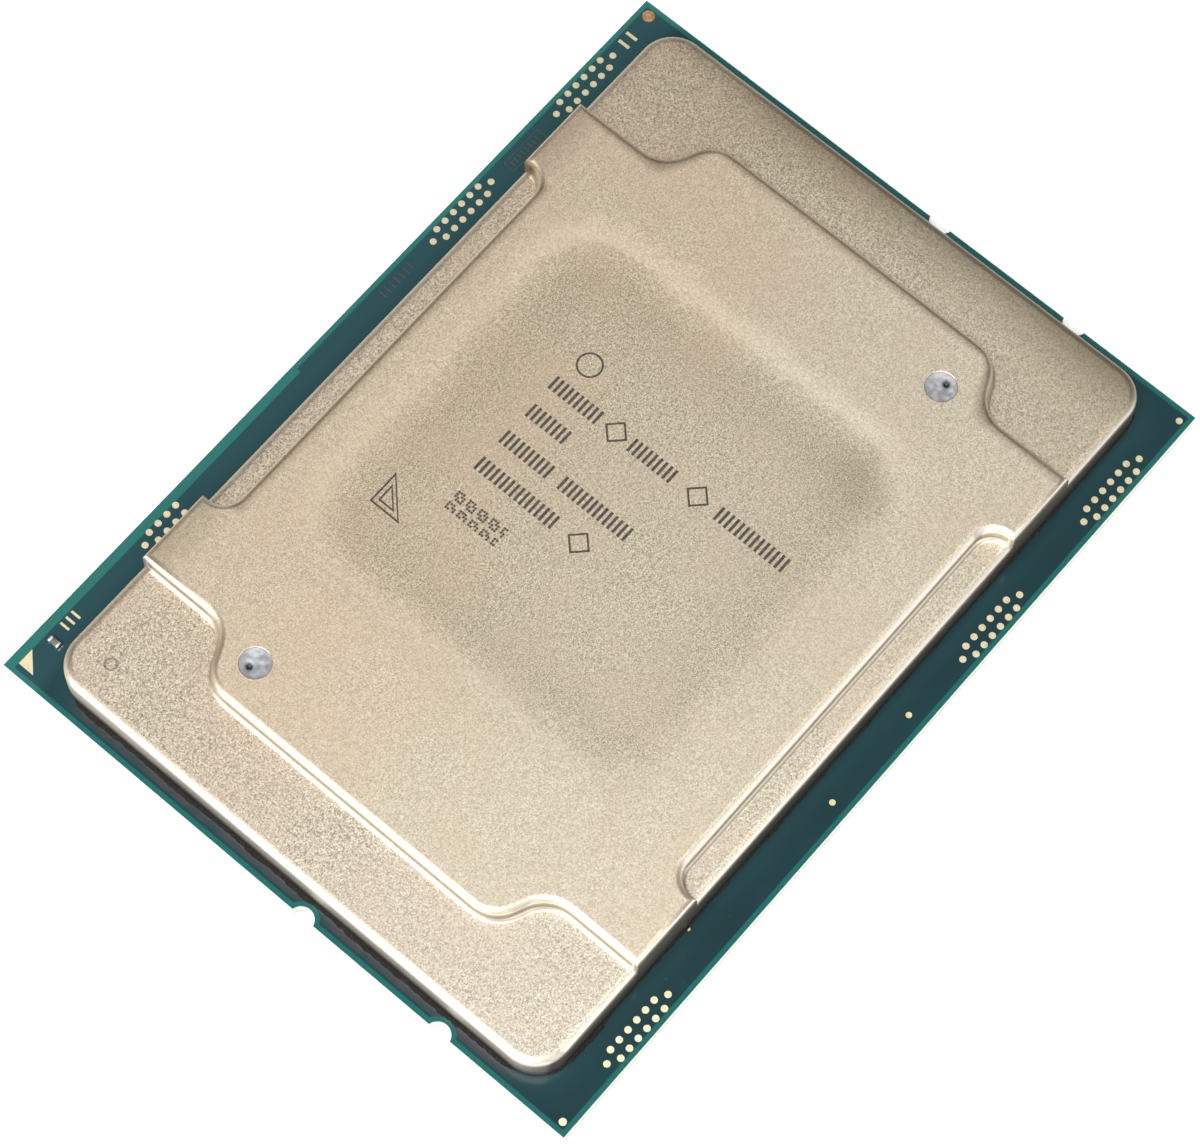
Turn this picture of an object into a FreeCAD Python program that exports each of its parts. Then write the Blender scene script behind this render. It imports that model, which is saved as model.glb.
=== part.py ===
import FreeCAD, Part
import math
import os

# A land-grid processor package lying face up.
#
# Millimetres. +X runs along the board's long side, +Y along its short side, +Z up.
# The origin is the centre of the outline, level with the lowest capacitor on the underside.

os.makedirs("parts", exist_ok=True)

Vec = FreeCAD.Vector

# ---------------------------------------------------------------- driving dimensions

# Board
BOARD_X = 76.0
BOARD_Y = 56.5
CORE_T = 0.70
BUILDUP_T = 0.20
COPPER_T = 0.025
MASK_T = 0.025
NOTCH_RADIUS = 1.05
NOTCH_DEPTH = 0.82
NOTCH_Y = (-2.5, -16.1)
COPPER_INSET = 0.4
COPPER_INSET_NOTCH = 0.45
COPPER_INSET_REAR = 0.8
REAR_INSET_END_X = -5.0

# Chip capacitors
SOLDER_T = 0.02
SOLDER_LEG = 0.16
LAND_CAP = {"length": 1.6, "width": 0.8, "height": 0.5, "band": 0.32}
DIE_CAP = {"length": 1.0, "width": 0.5, "height": 0.5, "band": 0.22}
MARKER_CAP = {"length": 1.0, "width": 0.5, "height": 0.4, "band": 0.22}
MARKER_CAP_AT = (-34.16, 26.48)
LAND_CAP_COLUMNS = 8
LAND_CAP_ROWS = 6
LAND_CAP_PITCH = 3.4
DIE_CAP_PITCH = 1.6
DIE_CAP_PER_LONG_SIDE = 12
DIE_CAP_PER_SHORT_SIDE = 7
DIE_CAP_CLEARANCE = 3.0

# Contact lands: columns run along Y, and every second column is shifted by half a pitch
LAND_RADIUS = 0.35
LAND_SIDES = 6
LAND_T = 0.02
LAND_COLUMNS = 86
LAND_ROWS = 54
LAND_PITCH = 0.9906
LAND_COLUMN_STEP = LAND_PITCH * math.sin(math.radians(60))
SPLIT_COLUMNS = range(41, 45)
FIELD_COLUMNS = range(25, 61)
FIELD_ROWS = range(15, 39)
KEY_LAND = (0, 51)

# Heat spreader
LID_X = 73.0
LID_Y = 49.5
LID_CORNER = 3.0
LID_GAP = 0.15
LEDGE_T = 2.90
STEP_T = 1.75
LEDGE_ROLL = 0.8
STEP_ROLL = 0.6
STEP_FOOT = 0.35
PLATEAU_X = 25.6
LOBE_X = 30.0
SLANT_MID_Y = 15.3
SLANT_DEG = 66.0
PLATEAU_CORNER = 3.0
RECESS_X = 18.8
RECESS_Y = 22.35
RECESS_CORNER = 1.8
CAVITY_X = 65.0
CAVITY_Y = 41.5
CAVITY_CORNER = 2.5
CAVITY_DEPTH = 0.80

# Vent holes and their plugs: (x, y, pit offset x, pit offset y)
VENTS = ((25.1, -12.45, 0.7, -0.15), (-26.4, 12.4, -0.5, 0.3))
VENT_RADIUS = 1.25
VENT_CHAMFER = 0.1
PLUG_SUNK = 0.15
PLUG_T = 2.4
PLUG_DISH_DEPTH = 0.1
PLUG_PIT_RADIUS = 0.16
PLUG_PIT_DEPTH = 0.3

# Ring-shaped punch mark on the left ledge
PUNCH_AT = (-33.2, 21.1)
PUNCH_OUTER = 0.55
PUNCH_INNER = 0.40
PUNCH_DEPTH = 0.06

# Die and what joins it to the board and to the heat spreader
DIE_X = 22.3
DIE_Y = 14.6
DIE_T = 0.78
BUMP_T = 0.07
BUMP_RADIUS = 0.3
BUMP_PITCH = 1.3
BUMP_EDGE = 0.7
UNDERFILL_SKIRT = 1.2
UNDERFILL_RISE = 0.5

# Sealant bead
BEAD_SQUEEZE = 0.3
BEAD_SET_BACK = 0.15

# Surface features of the top face
PAD_T = 0.035
PAD_RADIUS = 0.28
PAD_PITCH = 1.0
DOTS = (
    (36.95, -27.45, 0.275),
    (-37.14, -27.43, 0.30),
    (4.11, -26.76, 0.25),
    (-5.12, -26.79, 0.25),
    (-19.85, -24.95, 0.15),
)
ORIENTATION_DOT = (37.0, 27.2, 0.525)
PIN_ONE_CORNER = (-37.15, 27.44)
PIN_ONE_SIDE = 1.5

# ---------------------------------------------------------------- levels, from the bottom up

Z_LANDS = LAND_CAP["height"]
Z_MASK_BOTTOM = Z_LANDS + SOLDER_T
Z_COPPER_BOTTOM = Z_MASK_BOTTOM + MASK_T
Z_CORE = Z_COPPER_BOTTOM + COPPER_T + BUILDUP_T
Z_BUILDUP_TOP = Z_CORE + CORE_T
Z_COPPER_TOP = Z_BUILDUP_TOP + BUILDUP_T
Z_MASK_TOP = Z_COPPER_TOP + COPPER_T
Z_TOP_FACE = Z_MASK_TOP + MASK_T
Z_FOOT = Z_TOP_FACE + LID_GAP
Z_LEDGE = Z_FOOT + LEDGE_T
Z_PLATEAU = Z_LEDGE + STEP_T
Z_CAVITY = Z_FOOT + CAVITY_DEPTH
Z_DIE = Z_TOP_FACE + BUMP_T
Z_DIE_TOP = Z_DIE + DIE_T


# ---------------------------------------------------------------- building blocks

def save(node, shapes):
    """Write one node: a single solid, or a group of separate ones."""
    solids = [solid for shape in shapes for solid in shape.Solids]
    shape = solids[0] if len(solids) == 1 else Part.makeCompound(solids)
    shape.exportStep("parts/" + node + ".step")


def block(x, y, z, size_x, size_y, size_z):
    """Box centred on (x, y) and standing on z."""
    return Part.makeBox(size_x, size_y, size_z, Vec(x - size_x / 2, y - size_y / 2, z))


def disc(x, y, z, radius, height):
    return Part.makeCylinder(radius, height, Vec(x, y, z))


def outline(corners, z):
    """Closed wire through (x, y, radius) corners; a radius of 0 leaves the corner sharp."""
    starts = []
    mids = []
    ends = []
    for i, (x, y, radius) in enumerate(corners):
        point = Vec(x, y, z)
        before = Vec(corners[i - 1][0], corners[i - 1][1], z) - point
        after = Vec(corners[(i + 1) % len(corners)][0], corners[(i + 1) % len(corners)][1], z) - point
        before.normalize()
        after.normalize()
        half = before.getAngle(after) / 2
        inward = before + after
        inward.normalize()
        starts.append(point + before * (radius / math.tan(half)))
        ends.append(point + after * (radius / math.tan(half)))
        mids.append(point + inward * (radius / math.sin(half) - radius))
    edges = []
    for i, (x, y, radius) in enumerate(corners):
        if radius > 0:
            edges.append(Part.Arc(starts[i], mids[i], ends[i]).toShape())
        edges.append(Part.LineSegment(ends[i], starts[(i + 1) % len(corners)]).toShape())
    return Part.Wire(edges)


def prism(corners, z_low, z_high):
    return Part.Face(outline(corners, z_low)).extrude(Vec(0, 0, z_high - z_low))


def rounded_rectangle(size_x, size_y, radius):
    half_x = size_x / 2
    half_y = size_y / 2
    signs = ((1, 1), (1, -1), (-1, -1), (-1, 1))
    return [(sx * half_x, sy * half_y, radius) for sx, sy in signs]


def edges_at(shape, z):
    """Edges lying flat at height z."""
    return [edge for edge in shape.Edges if all(abs(v.Z - z) < 1e-6 for v in edge.Vertexes)]


def place_capacitor(shape, x, y, z, along_y, upside_down):
    if along_y:
        shape.rotate(Vec(0, 0, 0), Vec(0, 0, 1), 90)
    if upside_down:
        shape.rotate(Vec(0, 0, 0), Vec(1, 0, 0), 180)
    shape.translate(Vec(x, y, z))
    return shape


def capacitor(size, x, y, z, along_y=False, upside_down=False):
    """Body, two end caps and two solder joints of a chip capacitor seated at (x, y, z)."""
    length = size["length"]
    width = size["width"]
    height = size["height"]
    band = size["band"]
    body = block(0, 0, SOLDER_T, length - 2 * band, width, height)
    caps = []
    joints = []
    for side in (-1, 1):
        caps.append(block(side * (length - band) / 2, 0, SOLDER_T, band, width, height))
        pad = block(side * (length - band) / 2, 0, 0, band, width, SOLDER_T)
        rise = SOLDER_T + height / 2
        end = side * length / 2
        ramp = Part.makePolygon([
            Vec(end, -width / 2, 0),
            Vec(end + side * SOLDER_LEG, -width / 2, 0),
            Vec(end, -width / 2, rise),
            Vec(end, -width / 2, 0),
        ])
        joints.append(pad.fuse(Part.Face(ramp).extrude(Vec(0, width, 0))))
    bodies = [place_capacitor(body, x, y, z, along_y, upside_down)]
    caps = [place_capacitor(cap, x, y, z, along_y, upside_down) for cap in caps]
    joints = [place_capacitor(joint, x, y, z, along_y, upside_down) for joint in joints]
    return bodies, caps, joints


def save_capacitors(prefix, names, capacitors):
    """One node each for all bodies, all end caps and all solder joints of a set."""
    for index, name in enumerate(names):
        save(prefix + name, [shape for parts in capacitors for shape in parts[index]])


# ---------------------------------------------------------------- board

def board_slab(z_low, z_high, inset=0.0, notch_inset=0.0):
    """Slab with the board's outline, set back from its edges and keying notches."""
    slab = block(0, 0, z_low, BOARD_X - 2 * inset, BOARD_Y - 2 * inset, z_high - z_low)
    centre_x = BOARD_X / 2 - NOTCH_DEPTH + NOTCH_RADIUS
    for y in NOTCH_Y:
        for side in (-1, 1):
            slab = slab.cut(disc(side * centre_x, y, z_low, NOTCH_RADIUS + notch_inset, z_high - z_low))
    return slab


def copper_plane(z):
    plane = board_slab(z, z + COPPER_T, COPPER_INSET, COPPER_INSET_NOTCH)
    strip_x = BOARD_X / 2 + REAR_INSET_END_X
    strip = block(REAR_INSET_END_X - strip_x / 2, BOARD_Y / 2, z, strip_x, 2 * COPPER_INSET_REAR, COPPER_T)
    return plane.cut(strip)


def test_pads(first_x, count, near_y, far_y, ends):
    """Two rows of round pads; ends says which ends carry one more pad between the rows."""
    places = []
    for i in range(count):
        places.append((first_x + i * PAD_PITCH, near_y))
        places.append((first_x + i * PAD_PITCH, far_y))
    if "left" in ends:
        places.append((first_x - PAD_PITCH, (near_y + far_y) / 2))
    if "right" in ends:
        places.append((first_x + count * PAD_PITCH, (near_y + far_y) / 2))
    return [disc(x, y, Z_MASK_TOP, PAD_RADIUS, PAD_T) for x, y in places]


def pin_one_triangle():
    x, y = PIN_ONE_CORNER
    points = [Vec(x, y, 0), Vec(x + PIN_ONE_SIDE, y, 0), Vec(x, y - PIN_ONE_SIDE, 0), Vec(x, y, 0)]
    triangle = Part.Face(Part.makePolygon(points)).extrude(Vec(0, 0, PAD_T))
    triangle.translate(Vec(0, 0, Z_MASK_TOP))
    return triangle


PAD_GROUPS = {
    "test_pads_front_left": test_pads(-30.7, 6, -26.55, -27.55, ("left", "right")),
    "test_pads_front_centre": test_pads(11.33, 6, -26.55, -27.55, ("left", "right")),
    "test_pads_front_right": test_pads(26.35, 6, -26.55, -27.55, ("left", "right")),
    "test_pads_rear_left": test_pads(-22.72, 4, 26.25, 27.21, ("left",)),
    "test_pads_rear_centre": test_pads(11.33, 6, 26.55, 27.55, ("left", "right")),
    "test_pads_rear_right": test_pads(26.35, 6, 26.55, 27.55, ("left", "right")),
    "alignment_dots": [disc(x, y, Z_MASK_TOP, radius, PAD_T) for x, y, radius in DOTS],
    "orientation_dot": [disc(*ORIENTATION_DOT[:2], Z_MASK_TOP, ORIENTATION_DOT[2], PAD_T)],
    "pin_one_triangle": [pin_one_triangle()],
}

copper_top = copper_plane(Z_COPPER_TOP)
copper_bottom = copper_plane(Z_COPPER_BOTTOM)
openings = Part.makeCompound([shape for shapes in PAD_GROUPS.values() for shape in shapes])

save("substrate_core", [board_slab(Z_CORE, Z_BUILDUP_TOP)])
save("substrate_buildup_top", [board_slab(Z_BUILDUP_TOP, Z_MASK_TOP).cut(copper_top)])
save("substrate_buildup_bottom", [board_slab(Z_COPPER_BOTTOM, Z_CORE).cut(copper_bottom)])
save("copper_plane_top", [copper_top])
save("copper_plane_bottom", [copper_bottom])
save("solder_mask_top", [board_slab(Z_MASK_TOP, Z_TOP_FACE).cut(openings)])
save("solder_mask_bottom", [board_slab(Z_MASK_BOTTOM, Z_COPPER_BOTTOM)])
for group, shapes in PAD_GROUPS.items():
    save(group, shapes)
save_capacitors(
    "marker_capacitor_",
    ("body", "terminals", "solder"),
    [capacitor(MARKER_CAP, *MARKER_CAP_AT, Z_TOP_FACE, along_y=True)],
)


# ---------------------------------------------------------------- underside

def has_land(column, row):
    """Whether a place of the lattice carries a land."""
    if column in SPLIT_COLUMNS or (column, row) == KEY_LAND:
        return False
    if column in FIELD_COLUMNS and row in FIELD_ROWS:
        return False
    from_end = min(column, LAND_COLUMNS - 1 - column)
    from_side = min(row, LAND_ROWS - 1 - row)
    return from_end + from_side > 1


def land():
    """Hexagonal land at the origin, hanging from the lower mask."""
    points = []
    for i in range(LAND_SIDES + 1):
        angle = 2 * math.pi * i / LAND_SIDES
        points.append(Vec(LAND_RADIUS * math.cos(angle), LAND_RADIUS * math.sin(angle), Z_MASK_BOTTOM))
    return Part.Face(Part.makePolygon(points)).extrude(Vec(0, 0, -LAND_T))


one_land = land()
land_fields = {"contact_lands_left": [], "contact_lands_right": []}
for column in range(LAND_COLUMNS):
    shift = LAND_PITCH / 4 if column % 2 else -LAND_PITCH / 4
    x = (column - (LAND_COLUMNS - 1) / 2) * LAND_COLUMN_STEP
    for row in range(LAND_ROWS):
        if has_land(column, row):
            y = (row - (LAND_ROWS - 1) / 2) * LAND_PITCH + shift
            side = "left" if x < 0 else "right"
            land_fields["contact_lands_" + side].append(one_land.translated(Vec(x, y, 0)))
for field, lands in land_fields.items():
    save(field, lands)

land_capacitors = []
for column in range(LAND_CAP_COLUMNS):
    for row in range(LAND_CAP_ROWS):
        x = (column - (LAND_CAP_COLUMNS - 1) / 2) * LAND_CAP_PITCH
        y = (row - (LAND_CAP_ROWS - 1) / 2) * LAND_CAP_PITCH
        land_capacitors.append(capacitor(LAND_CAP, x, y, Z_MASK_BOTTOM, along_y=True, upside_down=True))
save_capacitors("land_capacitor_", ("bodies", "terminals", "solder"), land_capacitors)


# ---------------------------------------------------------------- die and its surroundings

die_half_x = DIE_X / 2 + DIE_CAP_CLEARANCE
die_half_y = DIE_Y / 2 + DIE_CAP_CLEARANCE
die_capacitors = []
for side in (-1, 1):
    for i in range(DIE_CAP_PER_LONG_SIDE):
        x = (i - (DIE_CAP_PER_LONG_SIDE - 1) / 2) * DIE_CAP_PITCH
        die_capacitors.append(capacitor(DIE_CAP, x, side * die_half_y, Z_TOP_FACE, along_y=True))
    for i in range(DIE_CAP_PER_SHORT_SIDE):
        y = (i - (DIE_CAP_PER_SHORT_SIDE - 1) / 2) * DIE_CAP_PITCH
        die_capacitors.append(capacitor(DIE_CAP, side * die_half_x, y, Z_TOP_FACE))
save_capacitors("die_side_capacitor_", ("bodies", "terminals", "solder"), die_capacitors)

bumps = []
bump_columns = int((DIE_X - 2 * BUMP_EDGE) / BUMP_PITCH) + 1
bump_rows = int((DIE_Y - 2 * BUMP_EDGE) / BUMP_PITCH) + 1
for column in range(bump_columns):
    for row in range(bump_rows):
        x = (column - (bump_columns - 1) / 2) * BUMP_PITCH
        y = (row - (bump_rows - 1) / 2) * BUMP_PITCH
        bumps.append(disc(x, y, Z_TOP_FACE, BUMP_RADIUS, BUMP_T))
save("die_bumps", bumps)

die = block(0, 0, Z_DIE, DIE_X, DIE_Y, DIE_T)
save("silicon_die", [die])
save("thermal_interface", [block(0, 0, Z_DIE_TOP, DIE_X, DIE_Y, Z_CAVITY - Z_DIE_TOP)])

# The underfill fills the gap under the die and climbs its walls as a sloping skirt.
skirt_foot = rounded_rectangle(DIE_X + 2 * UNDERFILL_SKIRT, DIE_Y + 2 * UNDERFILL_SKIRT, 0)
skirt_top = rounded_rectangle(DIE_X, DIE_Y, 0)
skirt = Part.makeLoft([outline(skirt_foot, Z_TOP_FACE), outline(skirt_top, Z_DIE + UNDERFILL_RISE)], True)
save("underfill", [skirt.cut(die).cut(Part.makeCompound(bumps))])


# ---------------------------------------------------------------- heat spreader

def plateau_corners(side_y):
    """Outline of the plateau, with the outermost walls of its long sides at side_y."""
    slant_run = (LOBE_X - PLATEAU_X) / 2 / math.tan(math.radians(SLANT_DEG))
    quarter = [
        (RECESS_X, RECESS_Y, RECESS_CORNER),
        (RECESS_X, side_y, 0),
        (PLATEAU_X, side_y, 0),
        (PLATEAU_X, SLANT_MID_Y + slant_run, PLATEAU_CORNER),
        (LOBE_X, SLANT_MID_Y - slant_run, PLATEAU_CORNER),
    ]
    right_front = [(x, -y, radius) for x, y, radius in reversed(quarter)]
    left_front = [(-x, -y, radius) for x, y, radius in quarter]
    left_rear = [(-x, y, radius) for x, y, radius in reversed(quarter)]
    return quarter + right_front + left_front + left_rear


def heat_spreader():
    plan = rounded_rectangle(LID_X, LID_Y, LID_CORNER)
    base = prism(plan, Z_FOOT, Z_LEDGE)
    base = base.makeFillet(LEDGE_ROLL, edges_at(base, Z_LEDGE))

    # The plateau rises out of an oversized plate, so that both its fillets run off past the lid.
    run_off = 8.0
    side_y = LID_Y / 2 + run_off
    plate = block(0, 0, Z_FOOT, LID_X + 4 * run_off, LID_Y + 4 * run_off, LEDGE_T)
    plateau = prism(plateau_corners(side_y), Z_FOOT, Z_PLATEAU)
    stepped = plate.fuse(plateau).removeSplitter()
    for z, radius in ((Z_LEDGE, STEP_FOOT), (Z_PLATEAU, STEP_ROLL)):
        rims = []
        for edge in edges_at(stepped, z):
            xs = [abs(v.X) for v in edge.Vertexes]
            ys = [abs(v.Y) for v in edge.Vertexes]
            on_outer_wall = min(ys) > side_y - 0.1
            if max(xs) < LID_X / 2 and not on_outer_wall:
                rims.append(edge)
        stepped = stepped.makeFillet(radius, rims)

    # Trim it to the plan, and leave the ledges' outer rim to the base with its rolled edge.
    envelope = prism(plan, Z_FOOT, Z_PLATEAU)
    envelope = envelope.makeFillet(STEP_ROLL, edges_at(envelope, Z_PLATEAU))
    inner_plan = rounded_rectangle(
        LID_X - 2 * LEDGE_ROLL, LID_Y - 2 * LEDGE_ROLL, LID_CORNER - LEDGE_ROLL
    )
    rim = envelope.cut(prism(inner_plan, Z_FOOT, Z_PLATEAU)).cut(plateau)
    lid = stepped.common(envelope).cut(rim).fuse(base).removeSplitter()

    cavity = rounded_rectangle(CAVITY_X, CAVITY_Y, CAVITY_CORNER)
    lid = lid.cut(prism(cavity, Z_FOOT, Z_CAVITY))
    for x, y, _, _ in VENTS:
        lid = lid.cut(disc(x, y, Z_CAVITY, VENT_RADIUS, Z_PLATEAU - Z_CAVITY))
        lead_in = Part.makeCone(
            VENT_RADIUS, VENT_RADIUS + VENT_CHAMFER, VENT_CHAMFER, Vec(x, y, Z_PLATEAU - VENT_CHAMFER)
        )
        lid = lid.cut(lead_in)
    groove = disc(*PUNCH_AT, Z_LEDGE - PUNCH_DEPTH, PUNCH_OUTER, PUNCH_DEPTH)
    groove = groove.cut(disc(*PUNCH_AT, Z_LEDGE - PUNCH_DEPTH, PUNCH_INNER, PUNCH_DEPTH))
    return lid.cut(groove)


def vent_plug(x, y, pit_x, pit_y):
    top = Z_PLATEAU - PLUG_SUNK
    dish_radius = (VENT_RADIUS ** 2 + PLUG_DISH_DEPTH ** 2) / (2 * PLUG_DISH_DEPTH)
    dish = Part.makeSphere(dish_radius, Vec(x, y, top - PLUG_DISH_DEPTH + dish_radius))
    pit = disc(x + pit_x, y + pit_y, top - PLUG_PIT_DEPTH, PLUG_PIT_RADIUS, PLUG_PIT_DEPTH)
    return disc(x, y, top - PLUG_T, VENT_RADIUS, PLUG_T).cut(dish).cut(pit)


save("heat_spreader", [heat_spreader()])
save("vent_plugs", [vent_plug(*vent) for vent in VENTS])

# The bead stays a little behind the heat spreader's wall, but is squeezed out at the left end.
bead_x = LID_X - BEAD_SET_BACK + BEAD_SQUEEZE
bead_plan = rounded_rectangle(bead_x, LID_Y - 2 * BEAD_SET_BACK, LID_CORNER)
bead = prism(bead_plan, Z_TOP_FACE, Z_FOOT)
bead.translate(Vec(-(BEAD_SQUEEZE + BEAD_SET_BACK) / 2, 0, 0))
bead_hole = rounded_rectangle(CAVITY_X, CAVITY_Y, CAVITY_CORNER)
save("sealant_bead", [bead.cut(prism(bead_hole, Z_TOP_FACE, Z_FOOT))])
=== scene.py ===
import math

import bmesh
import bpy
from mathutils import Matrix, Vector, noise
from mathutils.bvhtree import BVHTree
from mathutils.geometry import delaunay_2d_cdt


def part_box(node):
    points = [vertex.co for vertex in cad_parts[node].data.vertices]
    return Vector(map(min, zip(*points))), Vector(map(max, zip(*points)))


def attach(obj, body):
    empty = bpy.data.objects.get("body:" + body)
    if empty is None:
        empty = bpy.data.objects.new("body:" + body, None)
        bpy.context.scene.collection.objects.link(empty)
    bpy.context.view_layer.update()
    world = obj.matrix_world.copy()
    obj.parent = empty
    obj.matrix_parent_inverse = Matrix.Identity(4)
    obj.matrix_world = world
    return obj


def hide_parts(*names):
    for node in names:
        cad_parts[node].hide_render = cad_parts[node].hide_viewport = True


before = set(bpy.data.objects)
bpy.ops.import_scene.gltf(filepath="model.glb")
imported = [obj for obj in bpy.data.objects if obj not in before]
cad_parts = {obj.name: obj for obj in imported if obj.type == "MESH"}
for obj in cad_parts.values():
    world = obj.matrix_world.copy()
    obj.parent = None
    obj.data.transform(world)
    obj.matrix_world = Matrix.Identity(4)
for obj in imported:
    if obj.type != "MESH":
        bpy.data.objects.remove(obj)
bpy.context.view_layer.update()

# Sizes are in millimetres unless a name says otherwise; MM turns them into Blender's metres.
MM = 0.001

# ------------------------------------ dimensions shared with the CAD model

BOARD_X = 76.0
BOARD_Y = 56.5
NOTCH_RADIUS = 1.05
NOTCH_CENTRE_X = 38.23
NOTCH_Y = (-2.5, -16.1)
COPPER_INSET = 0.4
REAR_INSET_EXTRA = 0.4
REAR_INSET_END_X = -5.0

LID_X = 73.0
LID_Y = 49.5
LID_CORNER = 3.0
CAVITY_X = 65.0
VENTS = ((25.1, -12.45, 0.55, -0.12), (-26.4, 12.4, -0.45, 0.25))
VENT_RADIUS = 1.25

# Length, width, height and end cap of each kind of capacitor
LAND_CAP = (1.6, 0.8, 0.5, 0.32)
DIE_CAP = (1.0, 0.5, 0.5, 0.22)
MARKER_CAP = (1.0, 0.5, 0.4, 0.22)
MARKER_CAP_AT = (-34.16, 26.48)
SOLDER_T = 0.02
SOLDER_LEG = 0.16
SOLDER_SIDE = 0.02
SOLDER_CLIMB = 0.55
BODY_SHRINK = 0.03
BODY_BEVEL = 0.03
CAP_BEVEL = 0.05

# Field of capacitors on the underside, and the ring of them round the die
LAND_CAP_COLUMNS = 8
LAND_CAP_ROWS = 6
LAND_CAP_PITCH = 3.4
DIE_CAP_PITCH = 1.6
DIE_CAP_ROW = {"count": 12, "y": 10.3}
DIE_CAP_COLUMN = {"count": 7, "x": 14.15}

Z_TOP_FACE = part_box("solder_mask_top")[1].z / MM
Z_BOARD_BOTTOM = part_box("solder_mask_bottom")[0].z / MM
Z_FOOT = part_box("heat_spreader")[0].z / MM
Z_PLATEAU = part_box("heat_spreader")[1].z / MM
Z_LEDGE = Z_PLATEAU - 1.75

# The die area of the plateau is pressed slightly lower than the rest.
DISH_CENTRE = (1.0, 1.0)
DISH_HALF = 17.0
DISH_CORNER = 5.0
DISH_SOFT = 3.0
DISH_DEPTH = 0.06

# The plateau's right end lies at the first x in the middle and at the second beyond its S-bends,
# which run from the first distance from the middle line to the second.
PLATEAU_END_X = (30.0, 25.6)
PLATEAU_BEND_Y = (13.4, 17.2)

# The recess in the plateau's rear side: half its length, and the y that the plateau keeps there
RECESS_X = 18.8
RECESS_Y = 22.35

# Ring-shaped punch mark on the left ledge
PUNCH_AT = (-33.2, 21.1)
PUNCH_RADIUS = 0.48


# ------------------------------------ mesh helpers

def make_piece(name, mesh, material, replaced=()):
    """Turn a bmesh in millimetres into a piece that rides on the part."""
    data = bpy.data.meshes.new(name)
    bmesh.ops.scale(mesh, vec=(MM, MM, MM), verts=mesh.verts)
    bmesh.ops.recalc_face_normals(mesh, faces=mesh.faces)
    mesh.to_mesh(data)
    mesh.free()
    piece = bpy.data.objects.new(name, data)
    bpy.context.collection.objects.link(piece)
    data.materials.append(material)
    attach(piece, "root")
    if replaced:
        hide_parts(*replaced)
    return piece


def smooth(piece, angle_deg):
    """Smooth shading, with edges sharper than the angle kept crisp."""
    data = piece.data
    data.shade_smooth()
    mesh = bmesh.new()
    mesh.from_mesh(data)
    for edge in mesh.edges:
        if len(edge.link_faces) == 2:
            edge.smooth = edge.calc_face_angle() < math.radians(angle_deg)
    mesh.to_mesh(data)
    mesh.free()


def add_loops(mesh, loops, capped=False):
    """Skin a list of vertex rings of equal count, joined end to end or else capped."""
    rings = [[mesh.verts.new(point) for point in loop] for loop in loops]
    count = len(rings[0])
    pairs = len(rings) - 1 if capped else len(rings)
    for i in range(pairs):
        ring = rings[i]
        following = rings[(i + 1) % len(rings)]
        for j in range(count):
            k = (j + 1) % count
            mesh.faces.new((ring[j], ring[k], following[k], following[j]))
    if capped:
        mesh.faces.new(rings[0])
        mesh.faces.new(reversed(rings[-1]))


def add_prism(mesh, outline, z_low, z_high):
    """Closed upright prism over a list of (x, y) points."""
    lower = [(x, y, z_low) for x, y in outline]
    upper = [(x, y, z_high) for x, y in outline]
    add_loops(mesh, [lower, upper], capped=True)


def add_rounded_box(mesh, centre, size, bevel, place):
    """Box with softened edges and corners, moved by a matrix."""
    made = bmesh.ops.create_cube(mesh, size=1.0)
    verts = made["verts"]
    bmesh.ops.scale(mesh, vec=size, verts=verts)
    bmesh.ops.translate(mesh, vec=centre, verts=verts)
    edges = list(dict.fromkeys(edge for vert in verts for edge in vert.link_edges))
    rounded = bmesh.ops.bevel(
        mesh, geom=edges, offset=bevel, segments=2, profile=0.5, affect="EDGES"
    )
    linked = list(dict.fromkeys(vert for face in rounded["faces"] for vert in face.verts))
    bmesh.ops.transform(mesh, matrix=place, verts=linked)


def bar(x0, y0, x1, y1):
    return [(x0, y0), (x1, y0), (x1, y1), (x0, y1)]


def polygon(x, y, radius, sides):
    """Points of a regular polygon, the first one to the right of its middle."""
    points = []
    for i in range(sides):
        angle = 2 * math.pi * i / sides
        points.append((x + radius * math.cos(angle), y + radius * math.sin(angle)))
    return points


def smooth_step(value, low, high):
    t = min(max((value - low) / (high - low), 0.0), 1.0)
    return t * t * (3 - 2 * t)


def rounded_square_distance(x, y, centre, half, corner):
    """Signed distance from the outline of a rounded square, negative inside."""
    qx = abs(x - centre[0]) - (half - corner)
    qy = abs(y - centre[1]) - (half - corner)
    outside = math.hypot(max(qx, 0.0), max(qy, 0.0))
    return outside + min(max(qx, qy), 0.0) - corner


# ------------------------------------ material helpers

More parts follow.
